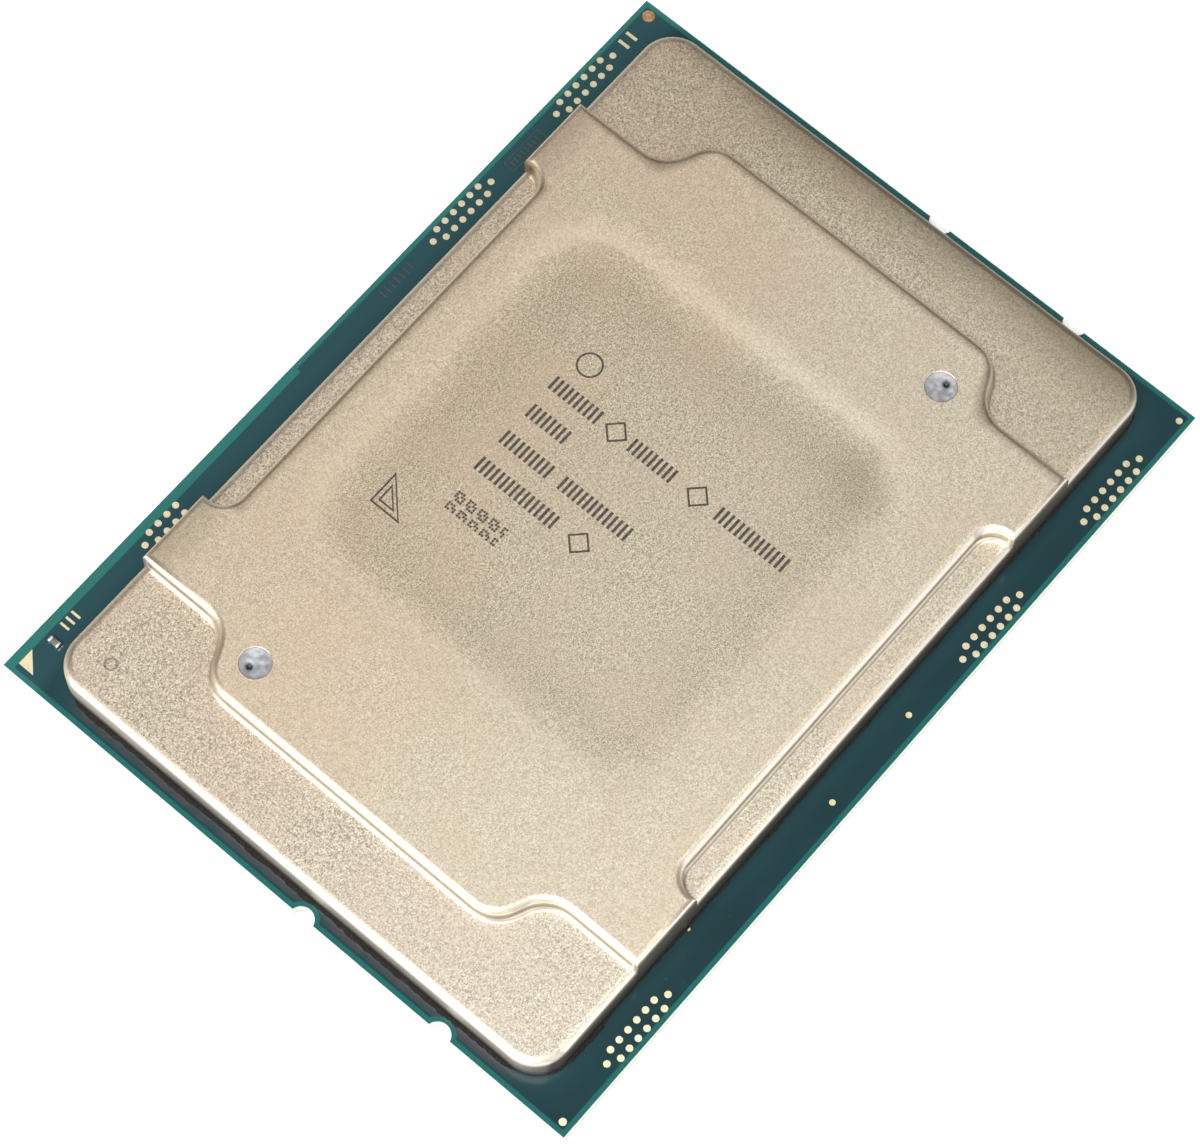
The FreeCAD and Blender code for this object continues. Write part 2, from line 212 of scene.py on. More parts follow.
class Graph:
    """Shorthand for building the node tree of one material."""

    def __init__(self, name):
        self.material = bpy.data.materials.new(name)
        self.material.use_nodes = True
        self.tree = self.material.node_tree
        self.shader = self.tree.nodes["Principled BSDF"]
        coordinates = self.add("ShaderNodeTexCoord")
        self.place = coordinates.outputs["Object"]

    def add(self, kind, **settings):
        node = self.tree.nodes.new(kind)
        for key, value in settings.items():
            setattr(node, key, value)
        return node

    def feed(self, socket, value):
        if isinstance(value, bpy.types.NodeSocket):
            self.tree.links.new(value, socket)
        else:
            socket.default_value = value

    def noise(self, size, detail=2.0, roughness=0.5, place=None):
        """Noise whose features are about size millimetres across."""
        node = self.add("ShaderNodeTexNoise")
        self.feed(node.inputs["Vector"], place or self.place)
        node.inputs["Scale"].default_value = 1 / (size * MM)
        node.inputs["Detail"].default_value = detail
        node.inputs["Roughness"].default_value = roughness
        return node.outputs["Fac"]

    def calc(self, operation, a, b=0.0):
        node = self.add("ShaderNodeMath", operation=operation)
        self.feed(node.inputs[0], a)
        self.feed(node.inputs[1], b)
        return node.outputs[0]

    def plus(self, a, b):
        return self.calc("ADD", a, b)

    def minus(self, a, b):
        return self.calc("SUBTRACT", a, b)

    def times(self, first, *others):
        for other in others:
            first = self.calc("MULTIPLY", first, other)
        return first

    def larger(self, a, b):
        return self.calc("MAXIMUM", a, b)

    def absolute(self, a):
        return self.calc("ABSOLUTE", a)

    def span(self, value, low, high, to_low=0.0, to_high=1.0, soft=True):
        """Map low..high to to_low..to_high, clamped."""
        node = self.add("ShaderNodeMapRange")
        node.interpolation_type = "SMOOTHSTEP" if soft else "LINEAR"
        self.feed(node.inputs["Value"], value)
        node.inputs["From Min"].default_value = low
        node.inputs["From Max"].default_value = high
        node.inputs["To Min"].default_value = to_low
        node.inputs["To Max"].default_value = to_high
        return node.outputs["Result"]

    def mix(self, factor, a, b, blend="MIX"):
        node = self.add("ShaderNodeMix", data_type="RGBA", blend_type=blend)
        self.feed(node.inputs["Factor"], factor)
        self.feed(node.inputs["A"], a)
        self.feed(node.inputs["B"], b)
        return node.outputs["Result"]

    def axes(self):
        """The place in the shared frame, in millimetres, as x, y and z."""
        node = self.add("ShaderNodeSeparateXYZ")
        self.feed(node.inputs[0], self.place)
        return [self.calc("DIVIDE", node.outputs[i], MM) for i in range(3)]

    def stretch(self, x, y, z):
        """The place with each axis multiplied, for drawn-out patterns."""
        node = self.add("ShaderNodeVectorMath", operation="MULTIPLY")
        self.feed(node.inputs[0], self.place)
        node.inputs[1].default_value = (x, y, z)
        return node.outputs[0]

    def bump(self, height, depth, strength):
        """Relief of the given depth in millimetres."""
        node = self.add("ShaderNodeBump")
        node.inputs["Strength"].default_value = strength
        node.inputs["Distance"].default_value = depth * MM
        self.feed(node.inputs["Height"], height)
        self.feed(self.shader.inputs["Normal"], node.outputs[0])

    def set(self, **values):
        """Values by Principled socket name, with underscores for spaces."""
        for name, value in values.items():
            self.feed(self.shader.inputs[name.replace("_", " ")], value)
        return self.material


def rgb(red, green, blue):
    """Colour from 0-255 display values."""
    def linear(channel):
        channel /= 255
        return channel / 12.92 if channel <= 0.04045 else ((channel + 0.055) / 1.055) ** 2.4
    return (linear(red), linear(green), linear(blue), 1.0)


# ------------------------------------ materials

def outline_distance(graph, centre, half_x, half_y, corner):
    """Distance in millimetres from a rounded rectangle seen from above, negative inside it."""
    x, y = graph.axes()[:2]
    qx = graph.minus(graph.absolute(graph.minus(x, centre[0])), half_x - corner)
    qy = graph.minus(graph.absolute(graph.minus(y, centre[1])), half_y - corner)
    px = graph.calc("POWER", graph.larger(qx, 0.0), 2.0)
    py = graph.calc("POWER", graph.larger(qy, 0.0), 2.0)
    outside = graph.calc("SQRT", graph.plus(px, py))
    inside = graph.calc("MINIMUM", graph.larger(qx, qy), 0.0)
    return graph.minus(graph.plus(outside, inside), corner)


def point_distance(graph, x, y, centre_x, centre_y):
    """Distance in millimetres from an upright line through a point."""
    dx = graph.calc("POWER", graph.minus(x, centre_x), 2.0)
    dy = graph.calc("POWER", graph.minus(y, centre_y), 2.0)
    return graph.calc("SQRT", graph.plus(dx, dy))


# ------------------------------------ nickel of the heat spreader

# Flat faces. The coarse colours belong to the ledges and to the pressed area over the die.
PALE_GRAIN = rgb(236, 226, 205)
PALE_GRAIN_COARSE = rgb(246, 237, 216)
DEEP_GRAIN = rgb(192, 179, 154)
DEEP_GRAIN_COARSE = rgb(150, 138, 114)
PINK_CLOUD = rgb(222, 200, 178)
# Darker over the pressed area, most just inside its outline
PRESSED_DARKER = rgb(172, 159, 132)
# Painted shade in the right front corner of the pressed area
PRESSED_CORNER_PAINTED_SHADE = rgb(140, 127, 102)
# Painted highlight round the pressed area
PRESSED_PAINTED_HIGHLIGHT = rgb(248, 238, 215)
# Painted shade of the right ledge
RIGHT_LEDGE_PAINTED_SHADE = rgb(148, 136, 112)

# Rolled edges and walls: the first is their own colour, the others are painted shade
ROLLED_EDGE = rgb(225, 219, 208)
OUTER_WALL_PAINTED_SHADE = rgb(142, 135, 126)
FRONT_ROLL_PAINTED_SHADE = rgb(106, 99, 87)
REAR_ROLL_PAINTED_SHADE = rgb(146, 136, 118)
RECESS_END_PAINTED_SHADE = rgb(100, 90, 74)
WALL_FOOT_PAINTED_SHADE = rgb(84, 80, 75)
LEFT_LIP_PAINTED_SHADE = rgb(116, 108, 96)

# Painted shade on what turns away from the light, and painted shades round the plateau's edge and in
# the punch mark's ring
AWAY_FRONT = rgb(138, 122, 101)
AWAY_REAR = rgb(210, 198, 176)
AWAY_STEP = rgb(214, 196, 168)
FAR_RIM_PAINTED_SHADE = rgb(96, 84, 70)
BROW_PAINTED_SHADE = rgb(110, 95, 74)
STEP_LINE_PAINTED_SHADE = rgb(70, 62, 52)
PUNCH_RING_PAINTED_SHADE = rgb(112, 101, 84)

# Painted light and shade by which the flat colours are multiplied: darker at the left, lighter at the
# right, warmer at the rear
LEFT_PAINTED_SHADE = (0.86, 0.86, 0.86, 1.0)
LEFT_LEDGE_PAINTED_SHADE = (0.85, 0.862, 0.9, 1.0)
RIGHT_PAINTED_LIGHT = (1.07, 1.07, 1.07, 1.0)
FRONT_TONE = (1.0, 1.0, 1.0, 1.0)
REAR_PAINTED_WARMTH = (1.02, 0.97, 0.93, 1.0)
LEFT_RIGHT = (-34.0, 34.0)
FRONT_REAR = (-10.0, 12.0)

# Grain sizes, and how much of the speckle is the fine one
GRAIN = 0.115
COARSE_GRAIN = 0.28
FINE_SHARE = 0.72
CLOUD_SIZE = 7.0

# A look fades in or out between the two values of a pair. Distances from the dish are negative
# inside it; its outline wanders by half of DISH_WANDER to either side.
DISH_WANDER = 1.6
DISH_FADE = (-2.8, 0.9)
DARKER_FADE = (-9.0, -2.0)
# Where the painted highlight round the pressed area fades in and out, and how it weakens to the left
# and the front
HIGHLIGHT_INNER = (-0.6, 0.4)
HIGHLIGHT_OUTER = (0.7, 2.6)
HIGHLIGHT_X = (6.0, 16.0)
HIGHLIGHT_Y = (-16.0, -9.0)
# Where the painted shade in the pressed area's right front corner fades
SHADED_CORNER_X = (9.0, 16.0)
SHADED_CORNER_Y = (-14.0, -6.0)
REAR_Y = (10.0, 18.0)

# Painted shade of the right ledge; LEDGE_END_Y is measured from LEDGE_MIDDLE_Y.
LEDGE_MIDDLE_Y = -2.0
LEDGE_END_Y = (8.0, 18.0)
LEDGE_INNER_X = (24.0, 30.0)
LEDGE_OUTER_X = (31.5, 35.0)
LEDGE_REAR_Y = (8.0, 20.0)

# The plateau's rolled edge: heights between which the look of the ledges gives way to its own, and
# the height from which the painted shade along its edge is full
RIM_LOW = Z_PLATEAU - 0.16
RIM_HIGH = Z_PLATEAU - 0.1
RIM_TOP = Z_PLATEAU - 0.02

# Uprightness of the surface's normal between which a rolled edge becomes a flat face
FLAT_LEVEL = (0.7, 0.985)

# Width of the painted shade along the plateau's right edge and along its rear recess, and of the
# fainter one beside the recess; how the first is narrowed across the S-bends
BROW_WIDTH = 1.3
REAR_BROW_WIDTH = 4.0
BEND_FADE = (0.4, 2.2)
BEND_NARROWING = 0.45

# Height over which painted shade darkens the outer wall towards its foot. Then, as distances from the
# outline:
# where the painted shade of the outer wall and of the front roll fades in, and where the painted shade
# lines of the step fade out.
FOOT_HEIGHT = 1.3
OUTER_WALL_FROM = (-0.5, -0.2)
FRONT_ROLL_FROM = (-0.9, -0.6)
STEP_TO = (-0.6, -0.4)

# Heights over which the painted dark band on the step's wall starts and ends, then the painted dark
# line at its foot
WALL_LINE = ((Z_LEDGE + 0.33, Z_LEDGE + 0.4), (Z_PLATEAU - 0.6, Z_PLATEAU - 0.52))
FOOT_LINE = ((Z_LEDGE + 0.004, Z_LEDGE + 0.016), (Z_LEDGE + 0.09, Z_LEDGE + 0.13))


class LidPlace:
    """Where a point of the heat spreader lies and which way its surface faces, as node outputs."""

    def __init__(self, graph):
        self.x, self.y, self.z = graph.axes()
        self.from_outline = outline_distance(graph, (0.0, 0.0), LID_X / 2, LID_Y / 2, LID_CORNER)
        self.from_dish = self.ragged_dish(graph)
        self.on_plateau = graph.span(self.z, RIM_LOW, RIM_HIGH)
        self.on_ledge = graph.minus(1.0, self.on_plateau)
        inside_dish = graph.span(self.from_dish, *DISH_FADE, 1.0, 0.0)
        self.pressed = graph.times(inside_dish, self.on_plateau)
        self.rear = graph.span(self.y, *REAR_Y)
        facing = graph.add("ShaderNodeSeparateXYZ")
        graph.feed(facing.inputs[0], graph.add("ShaderNodeNewGeometry").outputs["Normal"])
        self.to_right, self.to_rear, up = facing.outputs
        self.to_left = graph.times(self.to_right, -1.0)
        self.to_front = graph.times(self.to_rear, -1.0)
        self.away = graph.larger(self.to_right, self.to_rear)
        self.level = graph.absolute(up)
        self.flat = graph.span(self.level, *FLAT_LEVEL)

    def ragged_dish(self, graph):
        """Distance from the outline of the pressed die area, made uneven."""
        distance = outline_distance(graph, DISH_CENTRE, DISH_HALF, DISH_HALF, DISH_CORNER)
        ragged = graph.times(graph.minus(graph.noise(3.0), 0.5), DISH_WANDER)
        return graph.plus(distance, ragged)


def flat_nickel(graph, at, speck, coarseness):
    """Colour of the flat faces: grain, soft clouds, and darker over the die, with a painted shade in
    one corner of it and a painted highlight round it.
    """
    pale = graph.mix(coarseness, PALE_GRAIN, PALE_GRAIN_COARSE)
    deep = graph.mix(coarseness, DEEP_GRAIN, DEEP_GRAIN_COARSE)
    colour = graph.mix(graph.span(speck, 0.36, 0.62, soft=False), deep, pale)
    cloud = graph.noise(CLOUD_SIZE, 3.0, 0.6)
    colour = graph.mix(graph.span(cloud, 0.38, 0.66, 0.0, 0.34), colour, PINK_CLOUD)
    # Darker over the pressed area, most just inside its outline
    darker_inside = graph.times(at.pressed, graph.span(at.from_dish, *DARKER_FADE, 0.12, 0.3))
    colour = graph.mix(darker_inside, colour, PRESSED_DARKER)
    # Painted shade in the pressed area's right front corner
    painted_corner_shade = graph.times(
        graph.span(at.x, *SHADED_CORNER_X, 0.0, 0.34),
        graph.span(at.y, *SHADED_CORNER_Y, 1.0, 0.0),
        at.pressed,
    )
    colour = graph.mix(painted_corner_shade, colour, PRESSED_CORNER_PAINTED_SHADE)
    # Painted highlight round the pressed area, weak at its left and front
    painted_highlight = graph.times(
        graph.span(at.from_dish, *HIGHLIGHT_INNER),
        graph.span(at.from_dish, *HIGHLIGHT_OUTER, 1.0, 0.0),
        at.on_plateau,
        graph.span(at.x, *HIGHLIGHT_X, 0.14, 0.34),
        graph.span(at.y, *HIGHLIGHT_Y, 0.15, 1.0),
    )
    return graph.mix(painted_highlight, colour, PRESSED_PAINTED_HIGHLIGHT)


def right_ledge_painted_shade(graph, at):
    """How much painted shade darkens the right ledge: more at its two ends, and most towards its outer
    edge.
    """
    from_middle = graph.absolute(graph.minus(at.y, LEDGE_MIDDLE_Y))
    at_ends = graph.span(from_middle, *LEDGE_END_Y, 0.1, 0.24)
    inner = graph.times(graph.span(at.x, *LEDGE_INNER_X), at_ends)
    towards_outside = graph.span(at.x, *LEDGE_OUTER_X, 0.0, 0.5, soft=False)
    outer = graph.times(towards_outside, graph.span(at.y, *LEDGE_REAR_Y, 1.0, 0.25))
    return graph.times(graph.plus(inner, outer), at.on_ledge)


def painted_cast(graph, at, colour):
    """The colour with painted light and shade: darker at the left, lighter at the right, warmer at the
    rear.
    """
    left_shade_tone = graph.mix(at.on_ledge, LEFT_PAINTED_SHADE, LEFT_LEDGE_PAINTED_SHADE)
    tone = graph.mix(graph.span(at.x, *LEFT_RIGHT, soft=False), left_shade_tone, RIGHT_PAINTED_LIGHT)
    painted_warmth = graph.mix(graph.span(at.y, *FRONT_REAR), FRONT_TONE, REAR_PAINTED_WARMTH)
    return graph.mix(1.0, graph.mix(1.0, colour, tone, "MULTIPLY"), painted_warmth, "MULTIPLY")


def rolled_nickel(graph, at, flat_colour):
    """Colour of the rolled edges and walls, with painted shade on the outer wall, the front roll, the
    rear roll, the recess's end and the wall's foot.
    """
    steep = graph.span(at.level, 0.2, 0.62, 1.0, 0.0)
    # Painted shade on the steep outer wall
    outer_wall_shade = graph.times(graph.span(at.from_outline, *OUTER_WALL_FROM), steep, 0.75)
    colour = graph.mix(outer_wall_shade, ROLLED_EDGE, OUTER_WALL_PAINTED_SHADE)
    # Painted shade on the roll that faces the front
    front_roll_shade = graph.times(
        graph.span(at.to_front, 0.76, 0.9), graph.span(at.from_outline, *FRONT_ROLL_FROM), 0.92
    )
    colour = graph.mix(front_roll_shade, colour, FRONT_ROLL_PAINTED_SHADE)
    # Painted shade on the rolls towards the rear
    rear_roll_shade = graph.larger(graph.span(at.to_rear, 0.1, 0.4), graph.span(at.x, -24.0, -16.0))
    rear_roll_shade_colour = graph.mix(0.3, flat_colour, REAR_ROLL_PAINTED_SHADE)
    colour = graph.mix(graph.times(rear_roll_shade, at.rear), colour, rear_roll_shade_colour)
    # Painted shade on the rear recess's right end wall, which faces left
    recess_end_shade = graph.times(
        at.rear, graph.span(at.x, 0.0, 10.0), graph.span(at.to_left, 0.1, 0.5, 0.0, 0.7)
    )
    colour = graph.mix(recess_end_shade, colour, RECESS_END_PAINTED_SHADE)
    # Painted shade towards the foot of the walls, beside the sealant
    return graph.mix(graph.span(at.z, Z_FOOT, Z_FOOT + FOOT_HEIGHT, 0.9, 0.0), colour, WALL_FOOT_PAINTED_SHADE)


def left_lip_shade(graph, at):
    """The faint painted shade line where a flat face starts to roll over to the left."""
    turning = graph.times(
        graph.span(at.to_left, 0.02, 0.08, 0.0, 0.5), graph.span(at.to_left, 0.32, 0.5, 1.0, 0.0)
    )
    off_foot = graph.larger(
        graph.span(at.z, Z_LEDGE + 0.3, Z_LEDGE + 0.4),
        graph.span(at.z, Z_LEDGE, Z_LEDGE + 0.01, 1.0, 0.0),
    )
    return graph.times(turning, off_foot)


def turned_away(graph, at, colour):
    """The colour with the edges and walls that face right or rear in a painted shade."""
    away_colour = graph.mix(at.rear, AWAY_FRONT, AWAY_REAR)
    away_colour = graph.mix(graph.span(at.z, Z_LEDGE + 0.02, Z_LEDGE + 0.2), away_colour, AWAY_STEP)
    shade = graph.times(
        graph.span(at.away, 0.08, 0.55, 0.0, 0.85), graph.span(at.rear, 0.0, 1.0, 1.0, 0.6)
    )
    return graph.mix(shade, colour, away_colour)


def far_rim_shade(graph, at):
    """How much painted shade darkens the ledges near the heat spreader's right and rear edges."""
    near_edge = graph.larger(
        graph.span(at.x, LID_X / 2 - 2.4, LID_X / 2 + 0.3),
        graph.span(at.y, LID_Y / 2 - 1.6, LID_Y / 2 - 0.2, 0.0, 0.35),
    )
    return graph.times(near_edge, at.on_ledge, 0.45)


def painted_brow_shade(graph, at):
    """How far a point lies in the painted shade along the plateau's right and rear edges."""
    side_x = graph.absolute(at.x)
    side_y = graph.absolute(at.y)
    edge_x = graph.span(side_y, *PLATEAU_BEND_Y, *PLATEAU_END_X)
    off_bend = graph.absolute(graph.minus(side_y, sum(PLATEAU_BEND_Y) / 2))
    # Across a bend the distance is measured along x, which is longer than square to the edge.
    narrowing = graph.span(off_bend, *BEND_FADE, BEND_NARROWING, 1.0)
    to_right_edge = graph.times(graph.minus(edge_x, at.x), narrowing)
    right = graph.span(to_right_edge, 0.0, BROW_WIDTH, 0.75, 0.0)
    recess = graph.times(
        graph.span(graph.minus(RECESS_Y, at.y), 0.0, BROW_WIDTH, 0.7, 0.0),
        graph.span(side_x, RECESS_X - 1.2, RECESS_X, 1.0, 0.0),
    )
    beside_recess = graph.times(
        graph.span(graph.minus(LID_Y / 2, at.y), 0.0, REAR_BROW_WIDTH, 0.34, 0.0),
        graph.span(side_x, RECESS_X - 0.6, RECESS_X + 0.8),
    )
    shade = graph.larger(right, graph.larger(recess, beside_recess))
    return graph.times(shade, graph.span(at.z, RIM_LOW, RIM_TOP))


def step_shade_lines(graph, at):
    """The plateau's step, in painted shade: dark band on its upright wall, and dark line at its foot
    facing the front.
    """
    wall = graph.times(graph.span(at.z, *WALL_LINE[0]), graph.span(at.z, *WALL_LINE[1], 0.6, 0.0))
    foot = graph.times(
        graph.span(at.z, *FOOT_LINE[0]),
        graph.span(at.z, *FOOT_LINE[1], 0.5, 0.0),
        graph.span(at.to_front, 0.1, 0.5, 0.1, 1.0),
    )
    inside_outline = graph.span(at.from_outline, *STEP_TO, 1.0, 0.0)
    lit_side = graph.span(at.away, 0.0, 0.3, 1.0, 0.15)
    return graph.times(graph.larger(wall, foot), inside_outline, lit_side)


def punch_ring_shade(graph, at):
    """Painted shade along the rim of the ring-shaped punch mark."""
    outline = outline_distance(graph, PUNCH_AT, PUNCH_RADIUS, PUNCH_RADIUS, PUNCH_RADIUS)
    return graph.times(graph.span(graph.absolute(outline), 0.05, 0.14, 0.6, 0.0), at.on_ledge)


def nickel():
    """Grainy satin nickel plating, finer on the plateau than on the ledges and the pressed area, with
    light and shade painted into its colour.
    """
    graph = Graph("nickel")
    at = LidPlace(graph)
    grain = graph.noise(GRAIN, 2.0, 0.6)
    coarse_grain = graph.noise(COARSE_GRAIN, 2.0, 0.6)
    speck = graph.plus(graph.times(grain, FINE_SHARE), graph.times(coarse_grain, 1 - FINE_SHARE))
    ledge_coarseness = graph.times(at.on_ledge, graph.span(at.y, -22.0, 8.0, 0.55, 0.95))
    coarseness = graph.larger(at.pressed, ledge_coarseness)
    colour = flat_nickel(graph, at, speck, coarseness)
    colour = graph.mix(right_ledge_painted_shade(graph, at), colour, RIGHT_LEDGE_PAINTED_SHADE)
    colour = painted_cast(graph, at, colour)
    colour = graph.mix(at.flat, rolled_nickel(graph, at, colour), colour)
    colour = graph.mix(left_lip_shade(graph, at), colour, LEFT_LIP_PAINTED_SHADE)
    colour = turned_away(graph, at, colour)
    colour = graph.mix(far_rim_shade(graph, at), colour, FAR_RIM_PAINTED_SHADE)
    colour = graph.mix(painted_brow_shade(graph, at), colour, BROW_PAINTED_SHADE)
    colour = graph.mix(step_shade_lines(graph, at), colour, STEP_LINE_PAINTED_SHADE)
    colour = graph.mix(punch_ring_shade(graph, at), colour, PUNCH_RING_PAINTED_SHADE)
    grainy = graph.span(graph.larger(at.flat, at.rear), 0.0, 1.0, 0.1, 1.0)
    relief = graph.times(speck, grainy, graph.span(coarseness, 0.0, 1.0, 0.6, 1.0))
    graph.bump(relief, 0.022, 0.8)
    rough = graph.span(grain, 0.3, 0.7, 0.42, 0.5, soft=False)
    dulled = graph.times(graph.minus(1.0, at.flat), at.rear, 0.14)
    return graph.set(Base_Color=colour, Metallic=1.0, Roughness=graph.plus(rough, dulled))


# ------------------------------------ other materials

# Where painted light makes the mask lighter behind the heat spreader, and where the painted reflection
# of its wall lies at its left
BEHIND_LID_PAINTED_LIGHT = (24.0, 25.5)
WALL_REFLECTION_X = -LID_X / 2 - 0.48
WALL_REFLECTION_HALF = (0.27, 0.52)
WALL_REFLECTION_END_Y = (20.0, 23.5)

# The painted shade in a plug's pit fades out between these distances from its middle.
PIT_SHADE_FADE = (0.16, 0.44)


def etched():
    """Laser marks: darkened nickel, flecked where the grain stands proud."""
    graph = Graph("etched_nickel")
    grain = graph.noise(0.12, 2.0, 0.6)
    colour = graph.mix(
        graph.span(grain, 0.42, 0.7, soft=False), rgb(40, 36, 31), rgb(102, 92, 76)
    )
    graph.bump(grain, 0.01, 0.5)
    return graph.set(Base_Color=colour, Metallic=0.2, Roughness=0.62)


def board_edge_distance(graph, x, y):
    """Distance inwards from the board's outline and notches, less where the rim is wider."""
    from_end = graph.minus(BOARD_X / 2, graph.absolute(x))
    from_side = graph.minus(BOARD_Y / 2, graph.absolute(y))
    edge = graph.calc("MINIMUM", from_end, from_side)
    # Along the left of the rear edge the rim is wider.
    rear = graph.minus(BOARD_Y / 2 - REAR_INSET_EXTRA, y)
    narrow_part = graph.times(graph.calc("GREATER_THAN", x, REAR_INSET_END_X), 2.0)
    edge = graph.calc("MINIMUM", edge, graph.plus(rear, narrow_part))
    for notch_y in NOTCH_Y:
        reach = point_distance(graph, graph.absolute(x), y, NOTCH_CENTRE_X, notch_y)
        edge = graph.calc("MINIMUM", edge, graph.minus(reach, NOTCH_RADIUS))
    return edge


def solder_mask():
    """Teal mask, dark over copper and lighter over the copper-free rim, with painted light behind and
    beside the heat spreader and a painted reflection of its wall at the left.
    """
    graph = Graph("solder_mask")
    x, y = graph.axes()[:2]
    edge = board_edge_distance(graph, x, y)
    over_copper = graph.span(edge, COPPER_INSET - 0.06, COPPER_INSET + 0.06)
    cloud = graph.noise(6.0, 3.0, 0.6)
    dark = graph.mix(graph.span(cloud, 0.3, 0.7), rgb(14, 44, 48), rgb(18, 49, 53))
    from_lid = outline_distance(graph, (0.0, 0.0), LID_X / 2, LID_Y / 2, LID_CORNER)
    # Painted light on the mask behind and beside the heat spreader
    painted_light_behind_lid = graph.span(y, *BEHIND_LID_PAINTED_LIGHT)
    painted_light_beside_lid = graph.span(from_lid, 0.2, 2.2, 0.4, 0.0)
    dark = graph.mix(graph.larger(painted_light_behind_lid, painted_light_beside_lid), dark, rgb(28, 61, 66))
    light = graph.mix(graph.noise(0.4, 2.0), rgb(14, 78, 76), rgb(24, 90, 87))
    light = graph.mix(painted_light_behind_lid, light, rgb(34, 96, 90))
    colour = graph.mix(over_copper, light, dark)
    # Painted grey reflection of the heat spreader's wall on the mask along its left side
    painted_wall_reflection = graph.times(
        graph.span(graph.absolute(graph.minus(x, WALL_REFLECTION_X)), *WALL_REFLECTION_HALF, 0.95, 0.0),
        graph.span(graph.absolute(y), *WALL_REFLECTION_END_Y, 1.0, 0.0),
        graph.span(graph.noise(1.8, 2.0), 0.3, 0.6, 0.4, 1.0),
        over_copper,
    )
    colour = graph.mix(painted_wall_reflection, colour, rgb(54, 57, 59))
    fine = graph.noise(0.09, 2.0, 0.6)
    dust = graph.span(graph.noise(0.5, 4.0, 0.7), 0.68, 0.74)
    graph.bump(graph.plus(fine, over_copper), 0.004, 0.5)
    rough = graph.plus(graph.times(dust, 0.2), 0.16)
    return graph.set(Base_Color=colour, Roughness=rough, IOR=1.48)


def laminate(name, base, fibre):
    """Woven glass laminate as its cut edge shows it: thin drawn-out bundles."""
    graph = Graph(name)
    bundle = graph.noise(0.12, 2.0, 0.6, graph.stretch(0.12, 0.12, 1.0))
    fleck = graph.noise(0.05, 1.0)
    colour = graph.mix(graph.span(bundle, 0.4, 0.6), base, fibre)
    graph.bump(graph.plus(bundle, fleck), 0.006, 0.6)
    return graph.set(Base_Color=colour, Roughness=graph.span(fleck, 0.3, 0.7, 0.5, 0.7), IOR=1.5)


def gold():
    """Thin pale gold plating with faint handling marks."""
    graph = Graph("gold")
    patch = graph.noise(0.35, 3.0, 0.6)
    scuff = graph.noise(0.08, 2.0, 0.6, graph.stretch(1.0, 0.25, 1.0))
    colour = graph.mix(graph.span(patch, 0.3, 0.7), rgb(240, 220, 174), rgb(250, 238, 204))
    graph.bump(scuff, 0.0015, 0.5)
    rough = graph.span(scuff, 0.3, 0.7, 0.32, 0.42)
    return graph.set(Base_Color=colour, Metallic=0.8, Roughness=rough)


def metal(name, light, dark, patch_size, grain, relief, rough):
    """Plain metal with a mottled colour and a fine relief; rough is a lowest and a highest value."""
    graph = Graph(name)
    patch = graph.noise(patch_size, 3.0, 0.6)
    colour = graph.mix(graph.span(patch, 0.3, 0.7), dark, light)
    graph.bump(graph.noise(grain, 2.0), relief, 0.5)
    return graph.set(Base_Color=colour, Metallic=1.0, Roughness=graph.span(patch, 0.3, 0.7, *rough))


def foil(name, light, dark):
    """Bare copper."""
    return metal(name, light, dark, 0.3, 0.06, 0.004, (0.3, 0.45))


def tin(name, light, dark, rough):
    """Tin, solder and other whitish metals."""
    return metal(name, light, dark, 0.18, 0.05, 0.006, rough)


def sealant():
    """Nearly black cured silicone, lumpy and dull."""
    graph = Graph("sealant")
    lump = graph.noise(0.35, 3.0, 0.6)
    fine = graph.noise(0.11, 3.0, 0.7)
    colour = graph.mix(graph.span(fine, 0.45, 0.7), rgb(22, 20, 18), rgb(52, 46, 40))
    graph.bump(graph.plus(fine, lump), 0.09, 1.0)
    rough = graph.span(lump, 0.3, 0.7, 0.35, 0.6)
    return graph.set(Base_Color=colour, Roughness=rough, Specular_IOR_Level=0.14)


def plug():
    """Grey cured plug, glossy, with painted shade in its pit."""
    graph = Graph("plug")
    x, y = graph.axes()[:2]
    lump = graph.noise(0.7, 3.0, 0.5)
    fine = graph.noise(0.14, 2.0)
    colour = graph.mix(graph.span(lump, 0.35, 0.65), rgb(124, 126, 130), rgb(152, 153, 156))
    # Painted shade in each plug's pit
    for vent_x, vent_y, pit_x, pit_y in VENTS:
        reach = point_distance(graph, x, y, vent_x + pit_x, vent_y + pit_y)
        colour = graph.mix(graph.span(reach, *PIT_SHADE_FADE, 0.95, 0.0), colour, rgb(30, 27, 28))
    graph.bump(graph.plus(lump, fine), 0.012, 0.5)
    return graph.set(Base_Color=colour, Metallic=0.1, Roughness=graph.span(lump, 0.3, 0.7, 0.3, 0.45))


def matt(name, light, dark, size, relief, rough):
    """Plain non-metal with a mottled colour and a fine relief."""
    graph = Graph(name)
    patch = graph.noise(size, 3.0, 0.6)
    colour = graph.mix(graph.span(patch, 0.3, 0.7), dark, light)
    graph.bump(patch, relief, 0.6)
    roughness = graph.span(patch, 0.3, 0.7, rough - 0.08, rough + 0.08)
    return graph.set(Base_Color=colour, Roughness=roughness)


